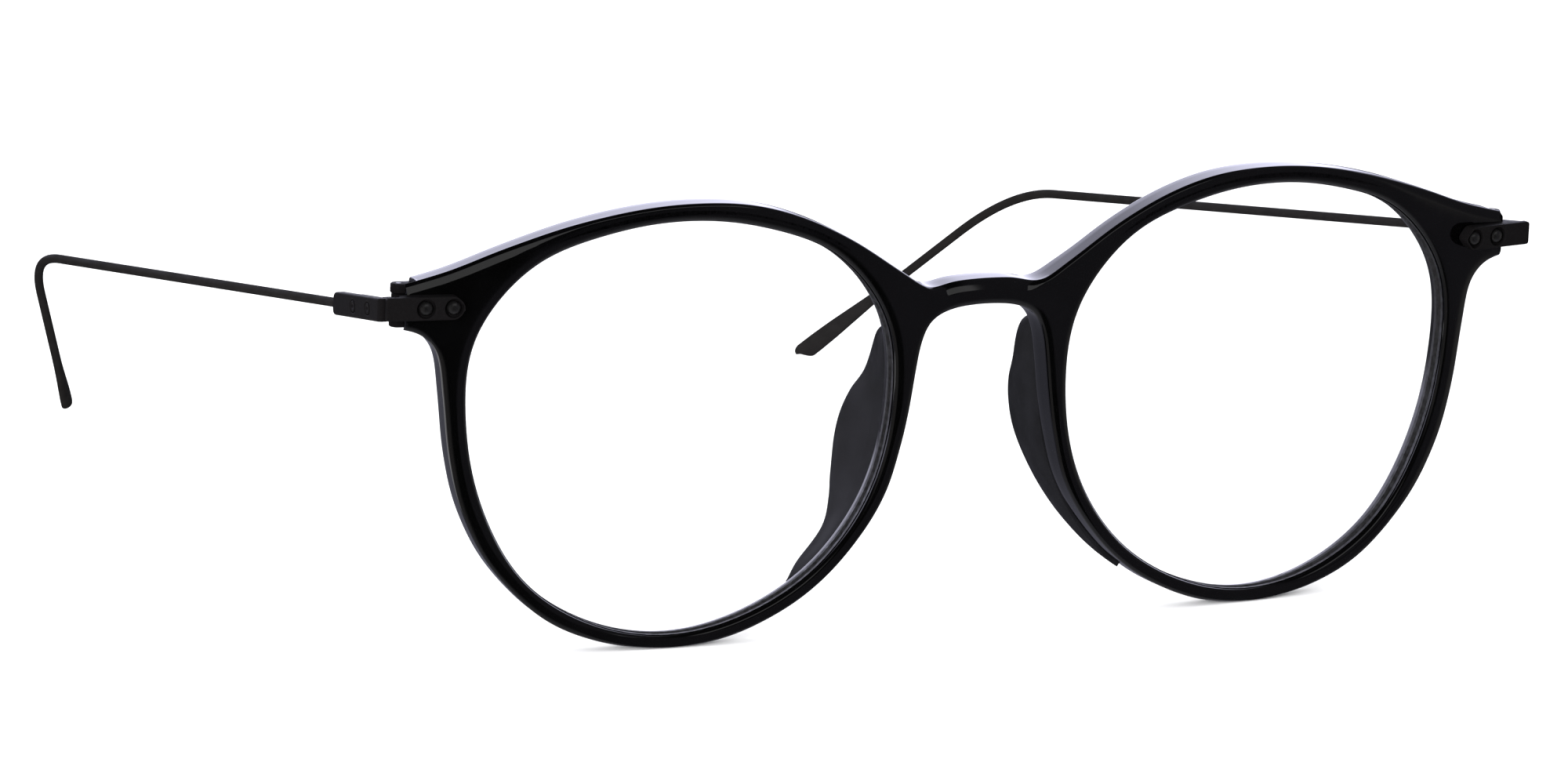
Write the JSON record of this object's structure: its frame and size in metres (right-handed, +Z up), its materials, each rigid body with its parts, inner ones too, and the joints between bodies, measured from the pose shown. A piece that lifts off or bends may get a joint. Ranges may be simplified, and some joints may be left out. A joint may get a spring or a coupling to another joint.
{
  "type": "round eyeglasses",
  "caption": "Round eyeglasses with a glossy black plastic front, clear lenses, riveted metal end bars and folding thin wire temples.",
  "frame": {"origin": "centre of the bounding box's base, on the surface that the rims and temple tips rest on", "axes": "+X to the wearer's left, -Y the way the front faces, +Y along the open temples, +Z up"},
  "size_m": [0.138, 0.1338, 0.0482],
  "materials": {
    "black_plastic": "polished",
    "pad_plastic": "satin",
    "clear_lens": "polished, clear",
    "dark_metal": "matt black",
    "rivet_metal": "matt black",
    "wire_metal": "matt black"
  },
  "bodies": {
    "front": {"front_frame": "black_plastic", "lens_left": "clear_lens", "nose_pad_left": "pad_plastic", "end_bar_left": "dark_metal", "nasal_rivet_left": "rivet_metal", "outer_rivet_left": "rivet_metal", "hinge_block_left": "dark_metal", "hinge_screw_left": "rivet_metal", "lens_right": "clear_lens", "nose_pad_right": "pad_plastic", "end_bar_right": "dark_metal", "nasal_rivet_right": "rivet_metal", "outer_rivet_right": "rivet_metal", "hinge_block_right": "dark_metal", "hinge_screw_right": "rivet_metal"},
    "temple_left": {"hinge_leaf_left": "dark_metal", "arm_plate_left": "dark_metal", "front_arm_pin_left": "rivet_metal", "rear_arm_pin_left": "rivet_metal", "temple_wire_left": "wire_metal"},
    "temple_right": {"hinge_leaf_right": "dark_metal", "arm_plate_right": "dark_metal", "front_arm_pin_right": "rivet_metal", "rear_arm_pin_right": "rivet_metal", "temple_wire_right": "wire_metal"}
  },
  "joints": [
    {"name": "temple_left_fold", "type": "hinge", "parent": "front", "child": "temple_left", "pos_m": [0.06579, -0.0595, 0.03818], "axis": [0, -0.0331, 0.9995], "range_deg": [0, 80]},
    {"name": "temple_right_fold", "type": "hinge", "parent": "front", "child": "temple_right", "pos_m": [-0.06579, -0.0595, 0.03818], "axis": [0, -0.0331, 0.9995], "range_deg": [-77, 0]}
  ]
}
